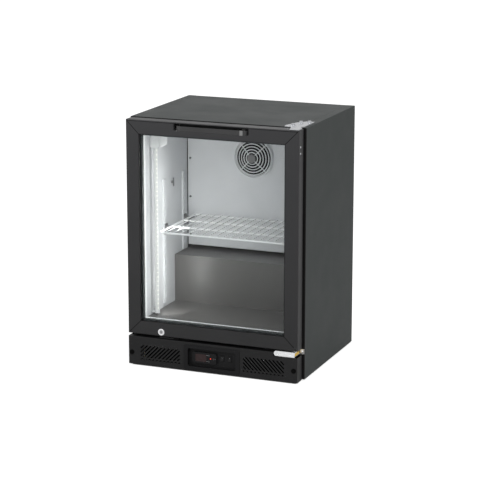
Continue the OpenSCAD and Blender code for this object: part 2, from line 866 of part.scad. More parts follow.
// moulded frame with a shallow recess that holds the controller and the switches
module control_bezel() {
    color(black_plastic) difference() {
        union() {
            front_extrude(front_y - 1.5, 1.5)
                soft_rect([-bezel_x, bezel_z[0]], [bezel_x, bezel_z[1]], 3);
            box([-recess_x - 4, front_y - 0.5, recess_z[0] - 4],
                [recess_x + 4, recess_back + 2, recess_z[1] + 4]);
        }
        front_extrude(front_y - 2, recess_back - front_y + 2)
            soft_rect([-recess_x, recess_z[0]], [recess_x, recess_z[1]], 6);
        box([controller_x[0] + 3.7, recess_back - 1, control_z - 14.3],
            [controller_x[1] - 3.7, recess_back + 3, control_z + 14.3]);
        switch_cutouts(13.4, 19.4, recess_back - 1, 4);
    }
}

window_x = [-58, -20];
button_spots = [[-11, 60], [-11, 40], [5, 50]];

module button_point(i) {
    translate([button_spots[i].x, controller_y, button_spots[i].y]) children();
}

// panel thermostat: rounded front frame and a body behind it
module controller() {
    color([0.10, 0.10, 0.11]) difference() {
        union() {
            front_extrude(controller_y, recess_back - controller_y)
                soft_rect([controller_x[0], control_z - controller_h / 2],
                          [controller_x[1], control_z + controller_h / 2], 8);
            box([controller_x[0] + 4, recess_back - 1, control_z - 14],
                [controller_x[1] - 4, recess_back + 58, control_z + 14]);
        }
        front_extrude(controller_y - 1, 2.2)
            soft_rect([window_x[0], control_z - 12.5], [window_x[1], control_z + 12.5], 2);
        for (i = [0:2]) button_point(i) y_rod([0, -1, 0], 5.5, button_r + button_gap);
    }
}

module display_window() {
    inset = 0.1;
    color([0.12, 0.07, 0.06]) front_extrude(controller_y - 0.3, 1.4)
        soft_rect([window_x[0] + inset, control_z - 12.5 + inset],
                  [window_x[1] - inset, control_z + 12.5 - inset], 1.9);
}

module push_button() {
    color([0.20, 0.20, 0.21]) y_rod([0, -button_proud, 0], button_proud + 3, button_r);
}

module button_up() {
    button_point(0) push_button();
}

module button_down() {
    button_point(1) push_button();
}

module button_set() {
    button_point(2) push_button();
}

// snap-in frames of the two rocker switches
module switch_housings() {
    color(black_plastic) difference() {
        union() {
            switch_cutouts(15, 21, recess_back - 1.5, 1.5);
            switch_cutouts(13, 19, recess_back - 0.5, 20);
        }
        switch_cutouts(10, 15.8, recess_back - 2, 12);
        for (x = switch_xs) rod([x - 5.9, rocker_y, switch_z], [x + 5.9, rocker_y, switch_z],
                                trunnion_r + pin_fit);
    }
}

// rocker with two shallow slopes and a pivot pin, turned to its off position
module rocker(x) {
    profile = [[-3.6, 7], [-1.9, 0], [-3.6, -7], [4, -5], [4, 5]];
    color([0.16, 0.16, 0.17]) {
        translate([x - 4.7, rocker_y, switch_z]) rotate([-rocker_tilt, 0, 0])
            rotate([90, 0, 90]) linear_extrude(9.4) polygon(profile);
        rod([x - 5.8, rocker_y, switch_z], [x + 5.8, rocker_y, switch_z], trunnion_r);
    }
}

module power_rocker() {
    rocker(switch_xs[0]);
}

module light_rocker() {
    rocker(switch_xs[1]);
}

// ---- hinges and lock ----

top_bolts = [[249, 70], [257, 118], [280, 132]];

// plate on the cabinet's top with a tongue that carries the pin over the door
module hinge_plate_top() {
    outline = [
        [227, 52], [256, 40], [262, 3], [293, 3], [293, 30], [282, 44], [291, 62],
        [291, 150], [266, 150], [242, 120], [227, 66]
    ];
    color(zinc) difference() {
        union() {
            translate([0, front_y, height]) linear_extrude(plate_t) difference() {
                polygon(outline);
                translate([232, 24]) circle(26);
            }
            translate([pin_x, pin_y, door_z1 - bush_len + 1])
                cylinder(h = height - door_z1 + bush_len, r = pin_r);
        }
        for (b = top_bolts) translate([b.x, front_y + b.y, height - 1]) cylinder(h = 9, r = 3.1);
    }
}

lower_bolt_z = (bracket_z[0] + bracket_z[1]) / 2;
lower_bolts = [[bracket_x[0] + 10, lower_bolt_z], [bracket_x[1] + 5.5, lower_bolt_z]];

module hinge_bolts() {
    color(zinc) {
        for (b = top_bolts) translate([b.x, front_y + b.y, height + plate_t]) hex_bolt();
        for (b = lower_bolts) translate([b.x, cab_y - plate_t - 0.2, b.y]) rotate([90, 0, 0])
            hex_bolt(head_r = 3.2, head_h = 3.5, shank = 3);
    }
}

// channel-shaped bracket under the door, with the lower pin
module hinge_bracket_bottom() {
    color(zinc) difference() {
        union() {
            front_extrude(front_y, plate_t)
                soft_rect([bracket_x[0], bracket_z[0]], [bracket_x[1], bracket_z[1]], 8,
                          [true, false, false, true]);
            for (z = [bracket_z[0], bracket_z[1] - plate_t])
                box([bracket_x[0] + 5, front_y, z], [bracket_x[1], cab_y - 0.2, z + plate_t]);
            box([bracket_x[0], cab_y - plate_t - 0.2, bracket_z[0]],
                [half_w - 1, cab_y - 0.2, bracket_z[1]]);
            translate([pin_x, pin_y, bracket_z[0] + 1])
                cylinder(h = door_z0 + bush_len - 2 - bracket_z[0], r = pin_r);
        }
        for (b = lower_bolts) y_rod([b.x, cab_y - 5, b.y], 8, 3);
    }
}

// self-closing cam block around the lower pin
module hinge_cam_block() {
    z0 = bracket_z[0] + plate_t;
    color([0.85, 0.65, 0.20]) difference() {
        box([pin_x - 14, front_y + 5, z0],
            [bracket_x[1] - 0.5, cab_y - 9, bracket_z[1] - plate_t - 0.1]);
        translate([pin_x, pin_y, z0 - 1]) cylinder(h = 40, r = pin_r + pin_fit);
    }
}

// strike plate under the door with the slot that the lock's cam drops into
module lock_keeper() {
    x = [lock_x - 11, lock_x + 38];
    color([0.25, 0.25, 0.26]) difference() {
        union() {
            box([x[0], front_y + 8, keeper_z], [x[1], cab_y - 0.2, keeper_z + 2]);
            box([x[0], cab_y - 2.2, kick_top - 20], [x[1], cab_y - 0.2, keeper_z + 2]);
            translate([x[1] - 6, front_y + 15, keeper_z + 1]) cylinder(h = 2.6, r = 3);
        }
        box([lock_x - 7, cam_y - 2.5, keeper_z - 1], [lock_x + 14, cam_y + 5, keeper_z + 4]);
    }
}

// ---- door ----

// section of the door frame's bars: X inwards from the outer edge, Y backwards
module door_section() {
    edge = 3;
    difference() {
        union() {
            soft_rect([0, 0], [rebate_a, door_t], edge, [true, false, false, false]);
            soft_rect([edge, 0], [bar_w, lip_t], 1, [false, true, false, false]);
            translate([0, rear_lip_b]) square([40, door_t - rear_lip_b]);
        }
        translate([4, 9]) square([24, 21]);
        translate([24, door_t - 3]) square([4, 4]);
        translate([20, door_t - 6]) square([12, 3.3]);
        translate([-1, 5.4]) square([1.8, 1.2]);
    }
}

// everything that is cut out of the door's bars
module door_cuts() {
    front_extrude(front_y - 1, pocket_d + 1)
        soft_rect([-pocket_half, pocket_top - pocket_h], [pocket_half, pocket_top], 5);
    for (z = [door_z0 - 1, door_z1 - bush_len]) translate([pin_x, pin_y, z])
        cylinder(h = bush_len + 1, r = bush_r);
    y_rod([lock_x, front_y - 1, lock_z], 14, 9.2);
    box([lock_x - 7, cam_y - 2.5, door_z0 - 1], [lock_x + 25, cam_y + 5, door_z0 + 4.5]);
}

module door_bar(side) {
    color(black_paint) difference() {
        mitred_bar(side, door_hx, door_z0, door_z1, front_y, bar_w) door_section();
        door_cuts();
    }
}

module door_stile_left() {
    door_bar("left");
}

module door_stile_right() {
    door_bar("right");
}

module door_rail_top() {
    door_bar("top");
}

module door_rail_bottom() {
    door_bar("bottom");
}

module glass_panes() {
    hx = door_hx - glass_inset;
    color([0.75, 0.85, 0.85, 0.3])
        for (y = [glass_y, glass_y + pane_t + glass_gap])
            box([-hx, y, door_z0 + glass_inset], [hx, y + pane_t, door_z1 - glass_inset]);
}

// hollow aluminium spacer between the two panes
module glass_spacer() {
    inset = glass_inset + 3;
    color([0.70, 0.71, 0.72])
        mitred_ring(door_hx - inset, door_z0 + inset, door_z1 - inset, glass_y + pane_t, 12)
            difference() {
                square([12, glass_gap]);
                translate([2, 2]) square([8, glass_gap - 4]);
            }
}

// magnetic seal ring with its barbed foot in the door's groove
module door_gasket() {
    inset = gasket_inset;
    color(black_plastic)
        mitred_ring(door_hx - inset, door_z0 + inset, door_z1 - inset, door_back, gasket_w)
            difference() {
                union() {
                    square([gasket_w, gasket_d]);
                    translate([4.5, -3.3]) square([3, 3.5]);
                    translate([1.5, -5.6]) square([9, 2.4]);
                }
                translate([-1, 2]) square([3.5, 1.6]);
                translate([gasket_w - 2.5, 2]) square([3.5, 1.6]);
            }
}

// the outline of the handle's bar seen from above: a flat bar with its ends curving back
module handle_bar_plan() {
    hx = pocket_half - 4;
    difference() {
        soft_rect([-hx, 0], [hx, 24], 22, [true, true, false, false]);
        soft_rect([-hx + 4, 4], [hx - 4, 25], 18, [true, true, false, false]);
    }
}

// moulded pocket with the grip bar across its lower part
module door_handle() {
    z0 = pocket_top - pocket_h;
    fit = 0.2;
    w = fit + 1.5;
    hx = pocket_half;
    color(black_plastic) {
        difference() {
            front_extrude(front_y + 0.6, pocket_d - 0.8)
                soft_rect([-hx + fit, z0 + fit], [hx - fit, pocket_top - fit], 5);
            front_extrude(front_y - 1, pocket_d - 0.8)
                soft_rect([-hx + w, z0 + w], [hx - w, pocket_top - w], 4);
        }
        translate([0, front_y + 0.4, z0 + fit]) linear_extrude(handle_bar_h) handle_bar_plan();
    }
}

// chromed barrel with its ring nut behind the frame's front wall
module lock_barrel() {
    color(zinc) difference() {
        union() {
            y_rod([lock_x, front_y - lock_stand, lock_z], lock_stand, 11);
            y_rod([lock_x, front_y - 0.1, lock_z], 17, 9);
            y_rod([lock_x, front_y + 9.2, lock_z], 3, 10.2);
        }
        y_rod([lock_x, front_y - 3, lock_z], 25, plug_r + pin_fit);
    }
}

// key plug with the cam on its tail
module lock_cam() {
    color([0.55, 0.55, 0.56]) {
        difference() {
            y_rod([lock_x, front_y - lock_stand + 0.4, lock_z], cam_y - front_y + 1.6, plug_r);
            box([lock_x - 0.8, front_y - lock_stand, lock_z - 3.5],
                [lock_x + 0.8, front_y + 2, lock_z + 3.5]);
        }
        front_extrude(cam_y, cam_t)
            soft_rect([lock_x - 7, lock_z - 4], [lock_x + cam_len, lock_z + 4], 3);
        y_rod([lock_x, cam_y + cam_t - 0.1, lock_z], 2, 3.5);
    }
}

// flanged nylon bushes in the door's top and bottom bars
module hinge_bushes() {
    wall_fit = 0.05;
    color(white_plastic) for (top = [false, true])
        translate([pin_x, pin_y, top ? door_z1 : door_z0]) mirror([0, 0, top ? 0 : 1])
            difference() {
                union() {
                    translate([0, 0, -bush_len]) cylinder(h = bush_len, r = bush_r - wall_fit);
                    cylinder(h = 0.9, r = bush_r + 3);
                }
                translate([0, 0, -bush_len - 1]) cylinder(h = bush_len + 3, r = pin_r + pin_fit);
            }
}

side_panel_left();
side_panel_right();
top_panel();
back_panel();
base_pan();
front_rail();
foam_insulation();
breaker_strips();
liner_left();
liner_right();
liner_top();
liner_back();
liner_floor();
evaporator_cover();
evaporator_coil();
evaporator_fan_motor();
evaporator_fan();
fan_guard();
lamp_holders();
lamp_tube();
shelf_rails();
shelf_brackets();
shelf();
compressor();
condenser_coil();
condenser_fan_motor();
condenser_fan();
refrigerant_pipes();
drain_pan();
rear_grille();
panel_screws();
cord_gland();
glides();
kick_plate();
kick_plate_plugs();
control_bezel();
controller();
display_window();
button_up();
button_down();
button_set();
switch_housings();
power_rocker();
light_rocker();
hinge_plate_top();
hinge_bolts();
hinge_bracket_bottom();
hinge_cam_block();
lock_keeper();
door_stile_left();
door_stile_right();
door_rail_top();
door_rail_bottom();
glass_panes();
glass_spacer();
door_gasket();
door_handle();
lock_barrel();
lock_cam();
hinge_bushes();
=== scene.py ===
"""Under-counter fridge with one glazed door: looks and small pieces added to its CAD frame.

In metres. The origin is on the floor under the cabinet's middle, and the door faces -Y.
"""

import json
import math

import bmesh
import bpy
from mathutils import Matrix, Vector


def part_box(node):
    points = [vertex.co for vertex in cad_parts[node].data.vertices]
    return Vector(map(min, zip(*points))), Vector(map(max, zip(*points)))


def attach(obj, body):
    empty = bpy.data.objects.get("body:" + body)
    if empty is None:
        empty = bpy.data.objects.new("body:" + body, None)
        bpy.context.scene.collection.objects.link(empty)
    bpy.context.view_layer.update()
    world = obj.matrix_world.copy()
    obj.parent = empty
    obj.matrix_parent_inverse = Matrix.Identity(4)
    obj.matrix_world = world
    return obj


# camera, fitted to the cabinet's corners
CAMERA_PLACE = (2.261, -5.585, 1.819)
CAMERA_YAW = 22.09
CAMERA_PITCH = 13.36
CAMERA_LENS = 140.98
SENSOR_WIDTH = 36.0

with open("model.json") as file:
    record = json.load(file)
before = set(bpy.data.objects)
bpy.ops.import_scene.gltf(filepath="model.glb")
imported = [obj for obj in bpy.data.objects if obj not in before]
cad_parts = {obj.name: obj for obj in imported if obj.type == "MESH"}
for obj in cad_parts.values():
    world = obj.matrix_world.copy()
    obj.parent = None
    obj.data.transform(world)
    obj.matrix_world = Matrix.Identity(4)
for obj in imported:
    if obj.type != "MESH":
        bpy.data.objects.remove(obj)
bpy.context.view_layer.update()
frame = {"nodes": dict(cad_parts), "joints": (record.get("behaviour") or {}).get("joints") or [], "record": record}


# ---- places, from the frame where it has them ----


def middle(node):
    """The middle of a CAD node's box."""
    low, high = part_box(node)
    return (low + high) / 2


JOINTS = {joint["name"]: joint for joint in frame["joints"]}

# door
door_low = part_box("door_rail_bottom")[0]
door_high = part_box("door_rail_top")[1]
DOOR_HALF_WIDTH = door_high.x
DOOR_Z = (door_low.z, door_high.z)
DOOR_FRONT_Y = door_low.y
DOOR_BAR_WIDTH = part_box("door_rail_bottom")[1].z - door_low.z
SEAM_WIDTH = 0.0016
SEAM_PROUD = 0.00008
BEAD_WIDTH = 0.0013
BEAD_PROUD = 0.00006
CORNER_GAP = 0.003
SIDE_SCREW_Y = -0.241
SIDE_SCREW_ZS = (0.740, 0.760)
GRIP_HIGHLIGHT_BANDS = ((-0.1195, -0.1155), (0.097, 0.107))
LEFT_EDGE_SHADE_DEPTH = 0.0018

# cabinet
CABINET_FRONT_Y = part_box("side_panel_right")[0].y
WALL_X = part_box("liner_left")[1].x
CEILING_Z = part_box("liner_top")[0].z
FRONT_EDGE_DEPTH = 0.0025
COVER_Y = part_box("evaporator_cover")[0].y
COVER_SKIN = 0.0008
SENSOR_CLIP = Vector((WALL_X, 0.020, 0.560))
SENSOR_BULB = Vector((WALL_X + 0.0075, 0.020, 0.545))

# lamp: its axis, its radius and the stretch of tube between its holders
tube_low, tube_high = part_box("lamp_tube")
LAMP = middle("lamp_tube").xy
LAMP_RADIUS = (tube_high.x - tube_low.x) / 2
LAMP_Z = (0.160, 0.704)
LED_COUNT = 36
LED_ANGLE = -40

# evaporator's fan
FAN = Vector(JOINTS["evaporator_fan_spin"]["pos_m"])
GUARD_HUB_RADIUS = 0.0145

# controls
CONTROLLER_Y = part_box("controller")[0].y
ARROW_SIZE = 0.0011
KEY_TO_ARROW = 0.0065
KEY_TO_LIGHT = 0.0055
PRINT_PROUD = 0.0001
ROCKER_SLOPE = 13.6
ROCKER_MARK = (0, -0.00275, 0.0035)

# machine bay: the height above which the fins are shown lit and below which they are painted in shade, and the
# pot's axis, radius and weld
LIT_FINS_Z = 0.049
POT = Vector((0.095, 0.184))
POT_RADIUS = 0.062
WELD_Z = 0.118
WELD_BEAD = 0.0022

# any height between the bottom hinge fittings and the top ones
FITTING_SPLIT_Z = 0.200


# ---- shader helpers ----


def shader(name):
    """An empty material with its output and a Principled shader."""
    material = bpy.data.materials.new(name)
    material.use_nodes = True
    tree = material.node_tree
    tree.nodes.clear()
    output = tree.nodes.new("ShaderNodeOutputMaterial")
    principled = tree.nodes.new("ShaderNodeBsdfPrincipled")
    tree.links.new(principled.outputs["BSDF"], output.inputs["Surface"])
    return material, tree, principled


def coordinates(tree, stretch=(1, 1, 1)):
    """Object coordinates in metres, stretched along the axes."""
    source = tree.nodes.new("ShaderNodeTexCoord")
    mapping = tree.nodes.new("ShaderNodeMapping")
    mapping.inputs["Scale"].default_value = stretch
    tree.links.new(source.outputs["Object"], mapping.inputs["Vector"])
    return mapping.outputs["Vector"]


def place_of(tree):
    """The three object coordinates in metres, apart."""
    split = tree.nodes.new("ShaderNodeSeparateXYZ")
    tree.links.new(coordinates(tree), split.inputs["Vector"])
    return split.outputs


def noise(tree, vector, scale, detail=3.0, roughness=0.55):
    """Noise of so many cells to the metre."""
    node = tree.nodes.new("ShaderNodeTexNoise")
    node.inputs["Scale"].default_value = scale
    node.inputs["Detail"].default_value = detail
    node.inputs["Roughness"].default_value = roughness
    tree.links.new(vector, node.inputs["Vector"])
    return node.outputs["Fac"]


def remap(tree, value, low, high, start=0.3, end=0.7):
    """value from start..end to low..high, clamped."""
    node = tree.nodes.new("ShaderNodeMapRange")
    node.inputs["From Min"].default_value = start
    node.inputs["From Max"].default_value = end
    node.inputs["To Min"].default_value = low
    node.inputs["To Max"].default_value = high
    tree.links.new(value, node.inputs["Value"])
    return node.outputs["Result"]


def combine(tree, operation, first, second, clamp=False):
    """One step of arithmetic on two values, each a number or a socket."""
    node = tree.nodes.new("ShaderNodeMath")
    node.operation = operation
    node.use_clamp = clamp
    for socket, value in ((node.inputs[0], first), (node.inputs[1], second)):
        if isinstance(value, (int, float)):
            socket.default_value = value
        else:
            tree.links.new(value, socket)
    return node.outputs["Value"]


def blend_colours(tree, factor, first, second):
    """A colour between two, each a tuple or a socket."""
    node = tree.nodes.new("ShaderNodeMix")
    node.data_type = "RGBA"
    tree.links.new(factor, node.inputs["Factor"])
    for socket, colour in ((node.inputs[6], first), (node.inputs[7], second)):
        if isinstance(colour, tuple):
            socket.default_value = (*colour, 1.0)
        else:
            tree.links.new(colour, socket)
    return node.outputs[2]


def bump(tree, height, distance, strength=1.0, normal=None):
    """A normal tilted by a height of up to distance, over another normal if one is given."""
    node = tree.nodes.new("ShaderNodeBump")
    node.inputs["Strength"].default_value = strength
    node.inputs["Distance"].default_value = distance
    tree.links.new(height, node.inputs["Height"])
    if normal is not None:
        tree.links.new(normal, node.inputs["Normal"])
    return node.outputs["Normal"]


def soft_edges(tree, radius):
    """A normal that rounds the edges by a radius."""
    node = tree.nodes.new("ShaderNodeBevel")
    node.samples = 4
    node.inputs["Radius"].default_value = radius
    return node.outputs["Normal"]


def shade(colour, factor):
    """A colour times a factor, no brighter than white."""
    return tuple(min(1.0, channel * factor) for channel in colour)


# ---- materials ----


DUST = 0.02


def coated(name, colour, rough, peel, spread=0.12, coat=0.0, edge=0.0006, level=0.5):
    """Paint or moulded plastic: orange peel or spark texture, cloudy gloss and a little dust.
    peel is (size of a dimple, its depth) in metres; level is the shader's specular level."""
    material, tree, principled = shader(name)
    vector = coordinates(tree)
    clouds = noise(tree, vector, 9.0, detail=5.0)
    grain = noise(tree, vector, 1.0 / peel[0], detail=2.0)
    dust = noise(tree, vector, 160.0, detail=6.0, roughness=0.7)
    base = blend_colours(tree, remap(tree, clouds, 0.0, 1.0),
                         shade(colour, 1 - spread), shade(colour, 1 + spread))
    dusted = blend_colours(tree, remap(tree, dust, 0.0, 0.10, 0.60, 0.80), base,
                           tuple(0.7 * channel + DUST for channel in colour))
    tree.links.new(dusted, principled.inputs["Base Color"])
    tree.links.new(remap(tree, clouds, rough - 0.04, rough + 0.06),
                   principled.inputs["Roughness"])
    rounded = soft_edges(tree, edge) if edge else None
    tree.links.new(bump(tree, grain, peel[1], 0.6, rounded), principled.inputs["Normal"])
    principled.inputs["Specular IOR Level"].default_value = level
    principled.inputs["Coat Weight"].default_value = coat
    principled.inputs["Coat Roughness"].default_value = 0.12
    return material


def brushed(name, colour, rough, stretch, depth=0.00002, spread=0.15):
    """Rolled or brushed metal: fine lines along one axis, with smudges."""
    material, tree, principled = shader(name)
    lines = noise(tree, coordinates(tree, stretch), 900.0, detail=2.0)
    smudges = noise(tree, coordinates(tree), 35.0, detail=5.0)
    base = blend_colours(tree, remap(tree, lines, 0.0, 1.0),
                         shade(colour, 1 - spread), shade(colour, 1 + spread))
    tree.links.new(base, principled.inputs["Base Color"])
    tree.links.new(remap(tree, smudges, rough - 0.06, rough + 0.10),
                   principled.inputs["Roughness"])
    tree.links.new(bump(tree, lines, depth, 0.5, soft_edges(tree, 0.0004)),
                   principled.inputs["Normal"])
    principled.inputs["Metallic"].default_value = 1.0
    return material


def copper_tube(name):
    """Bright copper, darkened and reddened in patches as brazing leaves it."""
    material, tree, principled = shader(name)
    vector = coordinates(tree)
    patches = noise(tree, vector, 26.0, detail=6.0)
    drawn = noise(tree, vector, 700.0, detail=2.0)
    base = blend_colours(tree, remap(tree, patches, 0.0, 1.0, 0.42, 0.66),
                         (0.78, 0.40, 0.25), (0.36, 0.13, 0.07))
    tree.links.new(base, principled.inputs["Base Color"])
    tree.links.new(remap(tree, patches, 0.20, 0.48), principled.inputs["Roughness"])
    tree.links.new(bump(tree, drawn, 0.00003, 0.4), principled.inputs["Normal"])
    principled.inputs["Metallic"].default_value = 1.0
    return material


def foam(name):
    """Poured polyurethane: pale yellow cells under a patchy skin."""
    material, tree, principled = shader(name)
    vector = coordinates(tree)
    clouds = noise(tree, vector, 12.0, detail=5.0)
    pores = noise(tree, vector, 420.0, detail=4.0, roughness=0.7)
    base = blend_colours(tree, remap(tree, clouds, 0.0, 1.0), (0.80, 0.69, 0.44),
                         (0.90, 0.82, 0.60))
    pitted = blend_colours(tree, remap(tree, pores, 0.0, 0.5, 0.52, 0.7), base,
                           (0.62, 0.50, 0.28))
    tree.links.new(pitted, principled.inputs["Base Color"])
    tree.links.new(remap(tree, pores, 0.80, 0.95), principled.inputs["Roughness"])
    tree.links.new(bump(tree, pores, 0.0006, 0.7), principled.inputs["Normal"])
    return material


PANE_TINT = (0.962, 0.968, 0.967)
PANE_IOR = 1.25


def window_glass(name):
    """Clear pane: straight-through light, with a weak and faintly smeared Fresnel gloss on the
    faces that light enters."""
    material, tree, principled = shader(name)
    tree.nodes.remove(principled)
    output = next(n for n in tree.nodes if n.type == "OUTPUT_MATERIAL")
    clear = tree.nodes.new("ShaderNodeBsdfTransparent")
    gloss = tree.nodes.new("ShaderNodeBsdfGlossy")
    fresnel = tree.nodes.new("ShaderNodeFresnel")
    mix = tree.nodes.new("ShaderNodeMixShader")
    smears = noise(tree, coordinates(tree, (1.0, 1.0, 0.35)), 30.0, detail=6.0)
    clear.inputs["Color"].default_value = (*PANE_TINT, 1.0)
    fresnel.inputs["IOR"].default_value = PANE_IOR
    tree.links.new(remap(tree, smears, 0.01, 0.06, 0.45, 0.75), gloss.inputs["Roughness"])
    side = tree.nodes.new("ShaderNodeNewGeometry")
    front_only = combine(tree, "SUBTRACT", fresnel.outputs["Fac"], side.outputs["Backfacing"],
                         clamp=True)
    tree.links.new(front_only, mix.inputs["Fac"])
    tree.links.new(clear.outputs["BSDF"], mix.inputs[1])
    tree.links.new(gloss.outputs["BSDF"], mix.inputs[2])
    tree.links.new(mix.outputs["Shader"], output.inputs["Surface"])
    return material


def glowing(name, colour, light, strength):
    """A diffuser or an LED: its own colour plus its light, brighter in patches."""
    material, tree, principled = shader(name)
    patches = noise(tree, coordinates(tree), 60.0)
    base = blend_colours(tree, remap(tree, patches, 0.0, 1.0), shade(colour, 0.94), colour)
    tree.links.new(base, principled.inputs["Base Color"])
    tree.links.new(remap(tree, patches, 0.30, 0.40), principled.inputs["Roughness"])
    principled.inputs["Emission Color"].default_value = (*light, 1.0)
    principled.inputs["Emission Strength"].default_value = strength
    return material


def above(tree, value, limit):
    """1 where the value is above the limit, otherwise 0."""
    return combine(tree, "GREATER_THAN", value, limit)


def below(tree, value, limit):
    """1 where the value is below the limit, otherwise 0."""
    return combine(tree, "LESS_THAN", value, limit)


def within(tree, value, low, high):
    """1 where the value lies between two limits, otherwise 0."""
    return combine(tree, "MULTIPLY", above(tree, value, low), below(tree, value, high))


def paint_over(material, factor_of, colour):
    """Lays a colour over a material's base where factor_of(tree, separated place) is 1."""
    tree = material.node_tree
    principled = next(n for n in tree.nodes if n.type == "BSDF_PRINCIPLED")
    base = principled.inputs["Base Color"].links[0].from_socket
    blended = blend_colours(tree, factor_of(tree, place_of(tree)), base, colour)
    tree.links.new(blended, principled.inputs["Base Color"])
    return material


def front_flange_shade(tree, place):
    """The casing's edge behind the door, made near-black as painted shade in the gap behind the door."""
    return below(tree, place["Y"], CABINET_FRONT_Y + FRONT_EDGE_DEPTH)


def left_edge_shade(tree, place):
    """The door's left edge, darker than its front: painted shade on the rounded edge that turns away from the
    light.
    """
    return below(tree, place["X"], LEFT_EDGE_SHADE_DEPTH - DOOR_HALF_WIDTH)


def painted_light_upwards(tree, place):
    """From 0 at the door's bottom to 1 at its top: the door's paint is made paler upwards as painted light,
    standing in for the stronger light above.
    """
    return remap(tree, place["Z"], 0.0, 1.0, DOOR_Z[0], DOOR_Z[1])


def lower_fittings_highlight(tree, place):
    """The hinge bracket under the door: the same zinc as the plate on top, painted brighter here as painted light.
    """
    return below(tree, place["Z"], FITTING_SPLIT_Z)


def behind_cover_shade(tree, place):
    """What lies behind the evaporator cover's front skin, blackened as painted shade so that the fan's opening
    looks dark."""
    return above(tree, place["Y"], COVER_Y + COVER_SKIN)


def grip_return_highlights(tree, place):
    """Painted highlights where the grip bar curves back at its ends."""
    left, right = [within(tree, place["X"], *band) for band in GRIP_HIGHLIGHT_BANDS]
    return combine(tree, "MAXIMUM", left, right)


def guard_hub(tree, place):
    """The disc in the middle of the fan guard, which is duller than its wires."""
    across = combine(tree, "SUBTRACT", place["X"], FAN.x)
    up = combine(tree, "SUBTRACT", place["Z"], FAN.z)
    squares = combine(tree, "ADD", combine(tree, "MULTIPLY", across, across),
                      combine(tree, "MULTIPLY", up, up))
    return below(tree, squares, GUARD_HUB_RADIUS ** 2)


def shaded_lower_fins(tree, place):
    """The condenser's lower fins, darkened as painted shade; only the fins above this height are shown lit."""
    return below(tree, place["Z"], LIT_FINS_Z)


